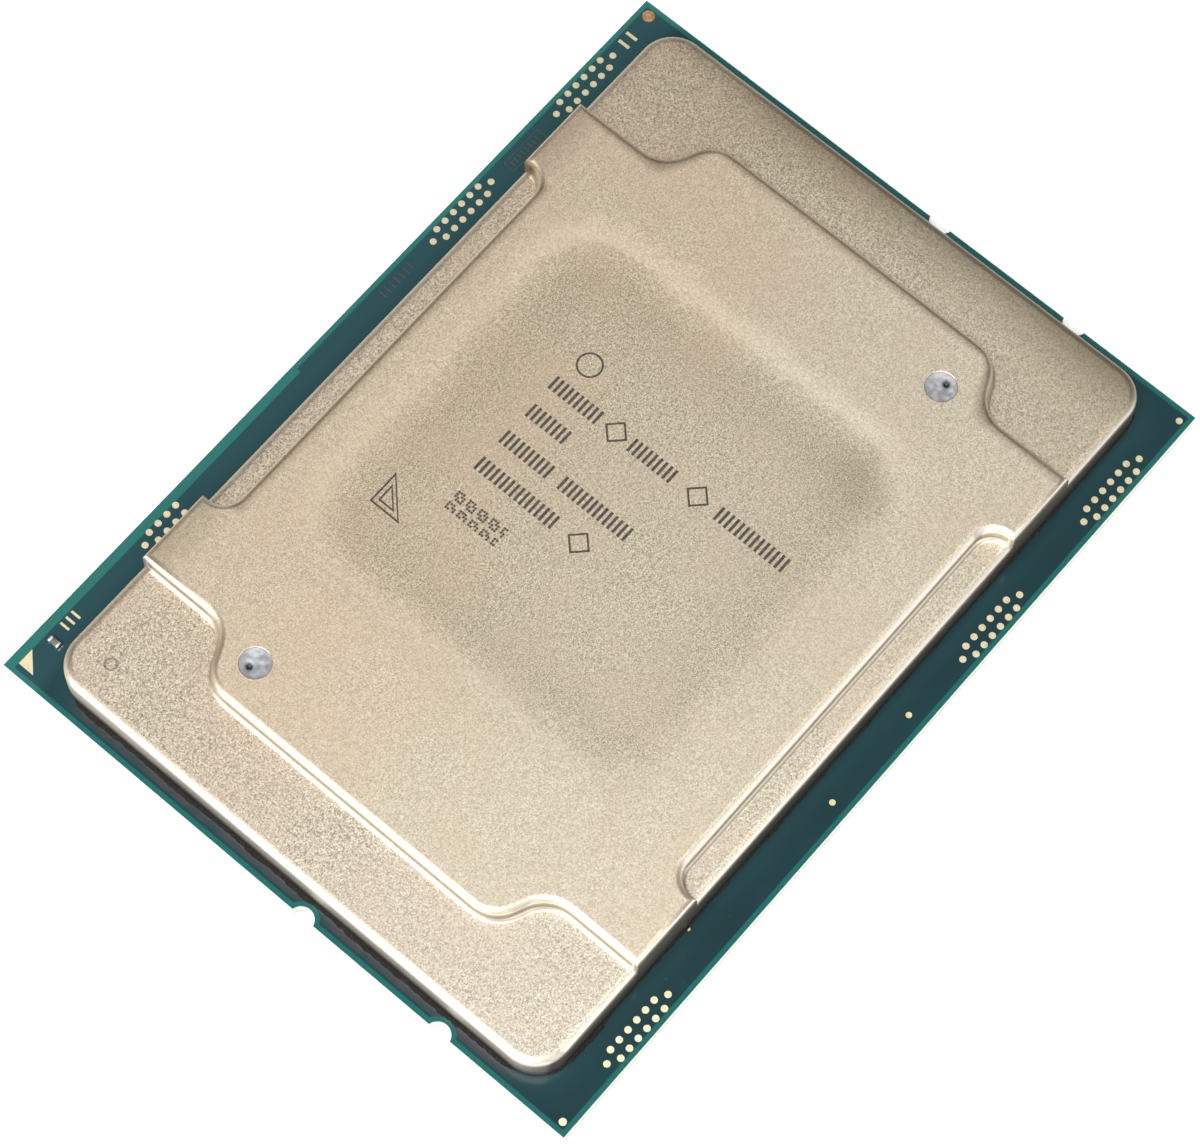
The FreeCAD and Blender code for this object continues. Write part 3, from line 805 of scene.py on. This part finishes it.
NICKEL = nickel()
ETCHED = etched()
MASK = solder_mask()
CORE = laminate("laminate_core", rgb(194, 198, 176), rgb(222, 223, 206))
BUILDUP = laminate("laminate_buildup", rgb(150, 160, 140), rgb(184, 190, 170))
GOLD = gold()
COPPER = foil("copper_foil", rgb(206, 134, 92), rgb(150, 84, 52))
ORANGE_COPPER = foil("copper_dot", rgb(240, 196, 146), rgb(222, 166, 116))
SEALANT = sealant()
PLUG = plug()
TERMINAL = tin("tin_plating", rgb(240, 238, 232), rgb(206, 203, 196), (0.4, 0.55))
SOLDER = tin("solder", rgb(224, 224, 222), rgb(170, 170, 168), (0.16, 0.3))
INTERFACE = tin("interface_metal", rgb(210, 210, 214), rgb(160, 160, 168), (0.3, 0.45))
CERAMIC = matt("ceramic", rgb(132, 108, 84), rgb(96, 76, 58), 0.12, 0.004, 0.4)
SILICON = matt("silicon", rgb(62, 66, 74), rgb(44, 46, 54), 2.0, 0.002, 0.25)
UNDERFILL = matt("underfill", rgb(44, 40, 38), rgb(24, 22, 22), 0.3, 0.01, 0.45)
GREY_CERAMIC = matt("grey_ceramic", rgb(112, 106, 100), rgb(84, 80, 76), 0.12, 0.004, 0.4)
PRINT = matt("print", rgb(58, 62, 58), rgb(40, 48, 46), 0.1, 0.003, 0.5)

NODE_MATERIALS = {
    "substrate_core": CORE,
    "contact_lands_left": GOLD,
    "contact_lands_right": GOLD,
    "silicon_die": SILICON,
    "thermal_interface": INTERFACE,
    "underfill": UNDERFILL,
    "die_bumps": SOLDER,
    "alignment_dots": GOLD,
    "orientation_dot": ORANGE_COPPER,
    "pin_one_triangle": GOLD,
}
for face in ("top", "bottom"):
    NODE_MATERIALS["substrate_buildup_" + face] = BUILDUP
    NODE_MATERIALS["copper_plane_" + face] = COPPER
    NODE_MATERIALS["solder_mask_" + face] = MASK
for side in ("front", "rear"):
    for place in ("left", "centre", "right"):
        NODE_MATERIALS["test_pads_" + side + "_" + place] = GOLD
for node, material in NODE_MATERIALS.items():
    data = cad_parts[node].data
    data.materials.clear()
    data.materials.append(material)


# ------------------------------------ heat spreader

def retile(mesh, faces, spacing, area):
    """Replace a flat patch of faces by small triangles over an area (x0, y0, x1, y1), same outline."""
    old = BVHTree.FromPolygons(
        [vert.co.copy() for vert in mesh.verts],
        [[vert.index for vert in face.verts] for face in faces],
    )
    z = faces[0].verts[0].co.z
    chosen = set(faces)
    rim = []
    # A dict keeps the order in which its keys come, so that each run gives the same mesh.
    for edge in dict.fromkeys(edge for face in faces for edge in face.edges):
        if sum(face in chosen for face in edge.link_faces) == 1:
            rim.append(edge)
    rim_verts = list(dict.fromkeys(vert for edge in rim for vert in edge.verts))
    index = {vert: i for i, vert in enumerate(rim_verts)}
    points = [vert.co.xy.copy() for vert in rim_verts]
    x0, y0, x1, y1 = area
    for i in range(int((x1 - x0) / spacing) + 1):
        for j in range(int((y1 - y0) / spacing) + 1):
            point = Vector((x0 + i * spacing, y0 + j * spacing))
            if old.ray_cast(Vector((point.x, point.y, z + 1.0)), Vector((0, 0, -1)))[0] is not None:
                points.append(point)
    edges = [(index[edge.verts[0]], index[edge.verts[1]]) for edge in rim]
    found = delaunay_2d_cdt(points, edges, [], 0, 1e-5)
    bmesh.ops.delete(mesh, geom=faces, context="FACES_ONLY")
    verts = []
    for place, origin in zip(found[0], found[3]):
        known = [i for i in origin if i < len(rim_verts)]
        verts.append(rim_verts[known[0]] if known else mesh.verts.new((place.x, place.y, z)))
    for triangle in found[2]:
        middle = sum((found[0][i] for i in triangle), Vector((0, 0))) / 3
        if old.ray_cast(Vector((middle.x, middle.y, z + 1.0)), Vector((0, 0, -1)))[0] is not None:
            mesh.faces.new([verts[i] for i in triangle])


def lid_normals(mesh):
    """Corner normals that keep flat faces flat and let the rolled edges blend into them."""
    crease = math.cos(math.radians(50))
    normals = []
    for face in mesh.faces:
        for vert in face.verts:
            total = Vector((0, 0, 0))
            for other in vert.link_faces:
                if other.normal.dot(face.normal) < crease:
                    continue
                is_flat = abs(other.normal.z) > 0.999 or abs(other.normal.z) < 0.001
                total += other.normal * (1000.0 if is_flat else 1.0)
            normals.append(total.normalized())
    return normals


# Part of the plateau that is tiled finely, as (x0, y0, x1, y1), and the size of its tiles
TILED_AREA = (-24.0, -20.4, 24.0, 20.4)
TILE = 0.6


def heat_spreader():
    """The CAD heat spreader with a finely tiled plateau, pressed down over the die."""
    mesh = bmesh.new()
    mesh.from_mesh(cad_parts["heat_spreader"].data)
    bmesh.ops.scale(mesh, vec=(1 / MM, 1 / MM, 1 / MM), verts=mesh.verts)
    bmesh.ops.remove_doubles(mesh, verts=mesh.verts, dist=1e-4)
    mesh.verts.index_update()
    plateau = [
        face for face in mesh.faces
        if face.normal.z > 0.999 and all(vert.co.z > Z_PLATEAU - 1e-3 for vert in face.verts)
    ]
    retile(mesh, plateau, TILE, TILED_AREA)
    for vert in mesh.verts:
        if vert.co.z > Z_PLATEAU - 1e-3:
            distance = rounded_square_distance(*vert.co.xy, DISH_CENTRE, DISH_HALF, DISH_CORNER)
            vert.co.z -= DISH_DEPTH * smooth_step(-distance, -DISH_SOFT, DISH_SOFT)
    mesh.normal_update()
    bmesh.ops.recalc_face_normals(mesh, faces=mesh.faces)
    mesh.normal_update()
    normals = lid_normals(mesh)
    piece = make_piece("heat_spreader_satin", mesh, NICKEL, ["heat_spreader"])
    piece.data.shade_smooth()
    piece.data.normals_split_custom_set(normals)


# Plugs: how far their rim lies below the plateau, their length, the hollow and the lumps of their
# top, and the pit in it
PLUG_SINK = 0.12
PLUG_LENGTH = 2.2
PLUG_DISH = 0.14
PLUG_LUMP = 0.05
PIT_DEPTH = 0.35
PIT_SPREAD = 0.1


def vent_plug(mesh, x, y, pit_x, pit_y, seed):
    """Plug with a shallow uneven dish and an off-centre pit."""
    rings = 16
    around = 56
    top = Z_PLATEAU - PLUG_SINK
    loops = [[(px, py, top - PLUG_LENGTH) for px, py in polygon(x, y, VENT_RADIUS, around)]]
    for i in range(rings):
        radius = VENT_RADIUS * (1 - i / rings)
        loop = []
        for dx, dy in polygon(0.0, 0.0, radius, around):
            depth = PLUG_DISH * (1 - (radius / VENT_RADIUS) ** 2)
            pit = math.exp(-((dx - pit_x) ** 2 + (dy - pit_y) ** 2) / PIT_SPREAD)
            lump = noise.noise(Vector((dx * 2.2, dy * 2.2, seed))) * PLUG_LUMP * smooth_step(i, 0, 3)
            loop.append((x + dx, y + dy, top - depth - PIT_DEPTH * pit + lump))
        loops.append(loop)
    add_loops(mesh, loops, capped=True)


def vent_plugs():
    mesh = bmesh.new()
    for seed, vent in enumerate(VENTS):
        vent_plug(mesh, *vent, seed * 7.3)
    smooth(make_piece("vent_plugs_cured", mesh, PLUG, ["vent_plugs"]), 60.0)


# ------------------------------------ etched marks

# Stand-ins for the marking: rows of plain ticks, squares on a corner, a ring, two nested
# triangles and a field of dots.
MARK_SINK = 0.02
MARK_RELIEF = 0.004
TICK_WIDTH = 0.25
TICK_PITCH = 0.5
ROW_HEIGHT = 1.3
# x of the row, then where each group of ticks starts and ends along y
TICK_ROWS = (
    (5.1, ((10.7, 5.6), (2.7, -2.0), (-6.0, -13.1))),
    (2.2, ((10.5, 6.4),)),
    (-0.8, ((10.6, 5.6), (4.7, -2.5))),
    (-3.7, ((10.6, 2.4),)),
)
# Middles of the squares and of the ring, and the reach of their outer and inner outlines
SQUARES = ((5.75, 4.1), (5.75, -4.1), (-3.1, 0.3))
SQUARE_REACH = (1.121, 0.881)
RING_AT = (8.7, 9.3)
RING_REACH = (1.1, 0.93)
RING_SIDES = 28
TRIANGLE = ((-10.9, 14.7), (-7.8, 14.7), (-10.9, 11.7))
# Sizes of the two triangles as shares of the outline above, and how much smaller their insides are
TRIANGLE_SIZES = (1.0, 0.55)
TRIANGLE_LINE = 0.16
DOT_FIELD = (-7.6, 5.0, -5.3, 10.5)
DOT_PITCH = 0.23
DOT_HALF = 0.42 * DOT_PITCH


def add_frame(mesh, outer, inner, z_low, z_high):
    """Closed flat ring between two outlines with the same number of points."""
    rings = []
    for outline, z in ((outer, z_low), (outer, z_high), (inner, z_high), (inner, z_low)):
        rings.append([(x, y, z) for x, y in outline])
    add_loops(mesh, rings)


def scaled(corners, size):
    """Outline scaled about the mean of its corners."""
    middle_x = sum(x for x, y in corners) / len(corners)
    middle_y = sum(y for x, y in corners) / len(corners)
    return [(middle_x + (x - middle_x) * size, middle_y + (y - middle_y) * size) for x, y in corners]


def add_ticks(mesh, low, high):
    half = TICK_WIDTH / 2
    for x, groups in TICK_ROWS:
        for start, end in groups:
            for i in range(int(abs(end - start) / TICK_PITCH)):
                y = start - (i + 0.5) * TICK_PITCH
                add_prism(mesh, bar(x, y - half, x + ROW_HEIGHT, y + half), low, high)


def add_dots(mesh, low, high):
    """Dots on a grid, some left out by a plain repeating rule that encodes nothing."""
    x0, y0, x1, y1 = DOT_FIELD
    for i in range(int((x1 - x0) / DOT_PITCH)):
        for j in range(int((y1 - y0) / DOT_PITCH)):
            if (i * 3 + j * 2 + i * j) % 5 < 3:
                x = x0 + (i + 0.5) * DOT_PITCH
                y = y0 + (j + 0.5) * DOT_PITCH
                dot = bar(x - DOT_HALF, y - DOT_HALF, x + DOT_HALF, y + DOT_HALF)
                add_prism(mesh, dot, low, high)


def etched_marks():
    mesh = bmesh.new()
    low = Z_PLATEAU - DISH_DEPTH - MARK_SINK
    high = Z_PLATEAU - DISH_DEPTH + MARK_RELIEF
    add_ticks(mesh, low, high)
    for x, y in SQUARES:
        outer, inner = [polygon(x, y, reach, 4) for reach in SQUARE_REACH]
        add_frame(mesh, outer, inner, low, high)
    outer, inner = [polygon(*RING_AT, reach, RING_SIDES) for reach in RING_REACH]
    add_frame(mesh, outer, inner, low, high)
    for size in TRIANGLE_SIZES:
        add_frame(mesh, scaled(TRIANGLE, size), scaled(TRIANGLE, size - TRIANGLE_LINE), low, high)
    add_dots(mesh, low, high)
    make_piece("etched_marks", mesh, ETCHED)


# ------------------------------------ sealant bead

def lid_outline_point(s, offset):
    """Point at length s along the heat spreader's outline, moved outwards by offset."""
    straight_x = LID_X - 2 * LID_CORNER
    straight_y = LID_Y - 2 * LID_CORNER
    arc = math.pi / 2 * LID_CORNER
    legs = (straight_y, arc, straight_x, arc, straight_y, arc, straight_x, arc)
    # Start at the rear end of the left side, running towards the front.
    heading = -math.pi / 2
    x = -LID_X / 2
    y = LID_Y / 2 - LID_CORNER
    for i, length in enumerate(legs):
        run = min(s, length)
        if i % 2 == 0:
            x += run * math.cos(heading)
            y += run * math.sin(heading)
        else:
            turn = run / LID_CORNER
            centre_x = x - LID_CORNER * math.sin(heading)
            centre_y = y + LID_CORNER * math.cos(heading)
            heading += turn
            x = centre_x + LID_CORNER * math.sin(heading)
            y = centre_y - LID_CORNER * math.cos(heading)
        s -= run
        if s <= 0:
            break
    out_x = math.sin(heading)
    out_y = -math.cos(heading)
    return x + out_x * offset, y + out_y * offset


# The bead is set back under the wall, save where it stands out: all along the left side, less
# along the front, and in two lumps of the front given by their x, half length and soft end.
BEAD_STEPS = 1500
BEAD_SET_BACK = 0.2
BEAD_REACH = 0.5
BEAD_LEFT_X = (35.6, 36.4)
BEAD_LEFT_HALF_Y = 22.5
BEAD_FRONT_Y = (23.6, 24.6)
BEAD_LUMP_Y = (24.0, 24.7)
BEAD_LUMPS = ((-31.2, 3.0, 1.0), (-15.6, 1.4, 0.8))
# Wander of its edge: waves per millimetre, seed and height of each octave
BEAD_WANDER = ((0.35, 2.0, 0.12), (1.6, 5.0, 0.08), (4.5, 9.0, 0.05))


def squeeze_out(x, y):
    """How far the bead stands out from the wall above it."""
    wander = sum(
        noise.noise(Vector((x * rate, y * rate, seed))) * height for rate, seed, height in BEAD_WANDER
    )
    left = smooth_step(-x, *BEAD_LEFT_X) * smooth_step(BEAD_LEFT_HALF_Y - abs(y), -0.5, 1.5)
    lumps = [smooth_step(half - abs(x - middle), 0.0, soft) for middle, half, soft in BEAD_LUMPS]
    lump = 0.85 * smooth_step(-y, *BEAD_LUMP_Y) * max(lumps)
    front = 0.6 * smooth_step(-y, *BEAD_FRONT_Y)
    reach = max(left, lump, front)
    return -BEAD_SET_BACK + BEAD_REACH * reach + wander * (0.35 + reach)


def sealant_bead():
    mesh = bmesh.new()
    perimeter = 2 * (LID_X + LID_Y - 4 * LID_CORNER) + 2 * math.pi * LID_CORNER
    inner_set_back = (LID_X - CAVITY_X) / 2
    loops = []
    for i in range(BEAD_STEPS):
        s = perimeter * i / BEAD_STEPS
        x, y = lid_outline_point(s, 0.0)
        out = squeeze_out(x, y)
        lift = noise.noise(Vector((x * 2.4, y * 2.4, 3.0))) * 0.04
        profile = (
            (-inner_set_back, Z_TOP_FACE),
            (out + 0.02, Z_TOP_FACE),
            (out + 0.05, Z_TOP_FACE + 0.05),
            (out, Z_TOP_FACE + 0.10 + lift),
            (min(out - 0.1, 0.0), Z_FOOT + max(lift, 0.0) * (out > 0.1)),
            (min(out - 0.1, 0.0) - 0.1, Z_FOOT),
            (-inner_set_back, Z_FOOT),
        )
        loop = []
        for offset, z in profile:
            px, py = lid_outline_point(s, offset)
            loop.append((px, py, z))
        loops.append(loop)
    add_loops(mesh, loops)
    smooth(make_piece("sealant_bead_squeezed", mesh, SEALANT, ["sealant_bead"]), 60.0)


# ------------------------------------ chip capacitors

def solder_profile(side, length, height, band):
    """Side view of a joint: under the end cap, and climbing it in a hollow curve."""
    end = side * (length / 2 - 0.01)
    under = end - side * band * 0.8
    profile = [(under, 0.0)]
    for i in range(6):
        t = i / 5
        climb = height * SOLDER_CLIMB * t ** 2.2
        profile.append((end + side * SOLDER_LEG * (1 - t), SOLDER_T + climb))
    profile.append((under, SOLDER_T + 0.01))
    return profile


def capacitor_set(prefix, names, size, places, body_material):
    """Bodies, end caps and solder of capacitors; places are (x, y, z, along_y, upside_down)."""
    slots = ("capacitor_body", "capacitor_terminal", "solder")
    materials = (body_material, TERMINAL, SOLDER)
    length, width, height, band = size
    bodies = bmesh.new()
    caps = bmesh.new()
    joints = bmesh.new()
    for x, y, z, along_y, upside_down in places:
        place = Matrix.Translation((x, y, z))
        if upside_down:
            place = place @ Matrix.Rotation(math.pi, 4, "X")
        if along_y:
            place = place @ Matrix.Rotation(math.pi / 2, 4, "Z")
        middle = SOLDER_T + height / 2
        body = (length - 1.2 * band, width - BODY_SHRINK, height - BODY_SHRINK)
        add_rounded_box(bodies, (0, 0, middle), body, BODY_BEVEL, place)
        for side in (-1, 1):
            centre = (side * (length - band) / 2, 0, middle)
            add_rounded_box(caps, centre, (band, width, height), CAP_BEVEL, place)
            profile = solder_profile(side, length, height, band)
            half = width / 2 + SOLDER_SIDE
            loops = []
            for edge_y in (-half, half):
                loops.append([place @ Vector((px, edge_y, pz)) for px, pz in profile])
            add_loops(joints, loops, capped=True)
    nodes = [prefix + name for name in names]
    for mesh, node, slot, material in zip((bodies, caps, joints), nodes, slots, materials):
        smooth(make_piece(node + "_rounded", mesh, material, [node]), 40.0)


def centred(count, pitch):
    """Places of a row of things about zero."""
    return [(i - (count - 1) / 2) * pitch for i in range(count)]


def all_capacitors():
    one = ("body", "terminals", "solder")
    many = ("bodies", "terminals", "solder")
    marker = [(*MARKER_CAP_AT, Z_TOP_FACE, True, False)]
    capacitor_set("marker_capacitor_", one, MARKER_CAP, marker, GREY_CERAMIC)
    under = []
    for x in centred(LAND_CAP_COLUMNS, LAND_CAP_PITCH):
        for y in centred(LAND_CAP_ROWS, LAND_CAP_PITCH):
            under.append((x, y, Z_BOARD_BOTTOM, True, True))
    capacitor_set("land_capacitor_", many, LAND_CAP, under, CERAMIC)
    beside = []
    for side in (-1, 1):
        for x in centred(DIE_CAP_ROW["count"], DIE_CAP_PITCH):
            beside.append((x, side * DIE_CAP_ROW["y"], Z_TOP_FACE, True, False))
        for y in centred(DIE_CAP_COLUMN["count"], DIE_CAP_PITCH):
            beside.append((side * DIE_CAP_COLUMN["x"], y, Z_TOP_FACE, False, False))
    capacitor_set("die_side_capacitor_", many, DIE_CAP, beside, CERAMIC)


# ------------------------------------ small prints on the board

# Rows of dashes along the rear edge: count, x of the first, pitch, width, and the y they span
GOLD_DASHES = ((3, -32.75, 0.62, 0.2, 26.4, 27.3), (2, 33.6, 0.95, 0.28, 26.5, 27.6))
FAINT_DASHES = ((8, 19.6, 0.43, 0.16, 26.5, 27.1), (7, 4.2, 0.55, 0.14, 26.6, 27.4))
FAINT_FRAME = (19.2, 26.25, 23.3, 27.35)
FAINT_LINE = 0.08
PRINT_SINK = 0.01
GOLD_RELIEF = 0.006
FAINT_RELIEF = 0.003


def add_dashes(mesh, rows, z_low, z_high):
    for count, first_x, pitch, width, y0, y1 in rows:
        for i in range(count):
            x = first_x + i * pitch
            add_prism(mesh, bar(x, y0, x + width, y1), z_low, z_high)


def board_prints():
    """Generic dashes where the board carries printed or exposed characters."""
    low = Z_TOP_FACE - PRINT_SINK
    exposed = bmesh.new()
    add_dashes(exposed, GOLD_DASHES, low, Z_TOP_FACE + GOLD_RELIEF)
    make_piece("exposed_dashes", exposed, GOLD)
    faint = bmesh.new()
    high = Z_TOP_FACE + FAINT_RELIEF
    x0, y0, x1, y1 = FAINT_FRAME
    inner = bar(x0 + FAINT_LINE, y0 + FAINT_LINE, x1 - FAINT_LINE, y1 - FAINT_LINE)
    add_frame(faint, bar(*FAINT_FRAME), inner, low, high)
    add_dashes(faint, FAINT_DASHES, low, high)
    make_piece("faint_print", faint, PRINT)


heat_spreader()
vent_plugs()
etched_marks()
sealant_bead()
all_capacitors()
board_prints()


# ------------------------------------ floor, light and camera

WORLD_BRIGHTNESS = 0.34
FLOOR_SIZE = 3000.0
FLOOR_GAP = 0.02


def floor():
    """Nearly white floor, just below the part."""
    graph = Graph("floor")
    patch = graph.noise(60.0, 2.0)
    colour = graph.mix(patch, rgb(246, 246, 246), rgb(252, 252, 252))
    graph.set(Base_Color=colour, Roughness=0.9)
    mesh = bmesh.new()
    bmesh.ops.create_grid(mesh, x_segments=1, y_segments=1, size=FLOOR_SIZE * MM)
    data = bpy.data.meshes.new("floor")
    mesh.to_mesh(data)
    mesh.free()
    plane = bpy.data.objects.new("floor", data)
    plane.location = (0, 0, -FLOOR_GAP * MM)
    data.materials.append(graph.material)
    bpy.context.collection.objects.link(plane)


def soft_light(name, azimuth, elevation, distance, size, energy):
    """Square area light aimed at the part; distance and size in metres, azimuth from +X to +Y."""
    a = math.radians(azimuth)
    e = math.radians(elevation)
    way = Vector((math.cos(a) * math.cos(e), math.sin(a) * math.cos(e), math.sin(e)))
    lamp = bpy.data.lights.new(name, "AREA")
    lamp.size = size
    lamp.energy = energy
    holder = bpy.data.objects.new(name, lamp)
    holder.location = way * distance
    holder.rotation_mode = "QUATERNION"
    holder.rotation_quaternion = way.to_track_quat("Z", "Y")
    bpy.context.collection.objects.link(holder)


def world_light(brightness):
    world = bpy.data.worlds.new("studio")
    world.use_nodes = True
    background = world.node_tree.nodes["Background"]
    background.inputs["Color"].default_value = (1.0, 1.0, 1.0, 1.0)
    background.inputs["Strength"].default_value = brightness
    bpy.context.scene.world = world


# Camera: place and axes in the shared frame, then lens and sensor
CAMERA_AT = Vector((-94.764, -75.240, 307.728))
CAMERA_RIGHT = Vector((0.65007, -0.75977, 0.01266))
CAMERA_DOWN = Vector((-0.70562, -0.60975, -0.36098))
CAMERA_LENS = 127.45
CAMERA_SENSOR = 36.0
AIM_DOWN = math.radians(0.039)


def camera():
    data = bpy.data.cameras.new("camera")
    data.lens = CAMERA_LENS
    data.sensor_width = CAMERA_SENSOR
    data.clip_start = 0.01
    data.clip_end = 20.0
    viewer = bpy.data.objects.new("camera", data)
    up = -CAMERA_DOWN
    back = CAMERA_RIGHT.cross(up)
    axes = Matrix((CAMERA_RIGHT, up, back)).transposed()
    viewer.rotation_mode = "QUATERNION"
    viewer.rotation_quaternion = (axes @ Matrix.Rotation(-AIM_DOWN, 3, "X")).to_quaternion()
    viewer.location = CAMERA_AT * MM
    bpy.context.collection.objects.link(viewer)
    bpy.context.scene.camera = viewer


floor()
world_light(WORLD_BRIGHTNESS)
soft_light("key", azimuth=205.0, elevation=66.0, distance=1.1, size=0.92, energy=16.6)
soft_light("left_panel", azimuth=168.0, elevation=24.0, distance=0.5, size=0.4, energy=1.6)
soft_light("front_panel", azimuth=262.0, elevation=26.0, distance=0.5, size=0.4, energy=1.0)
camera()
bpy.context.scene.view_settings.view_transform = "Standard"
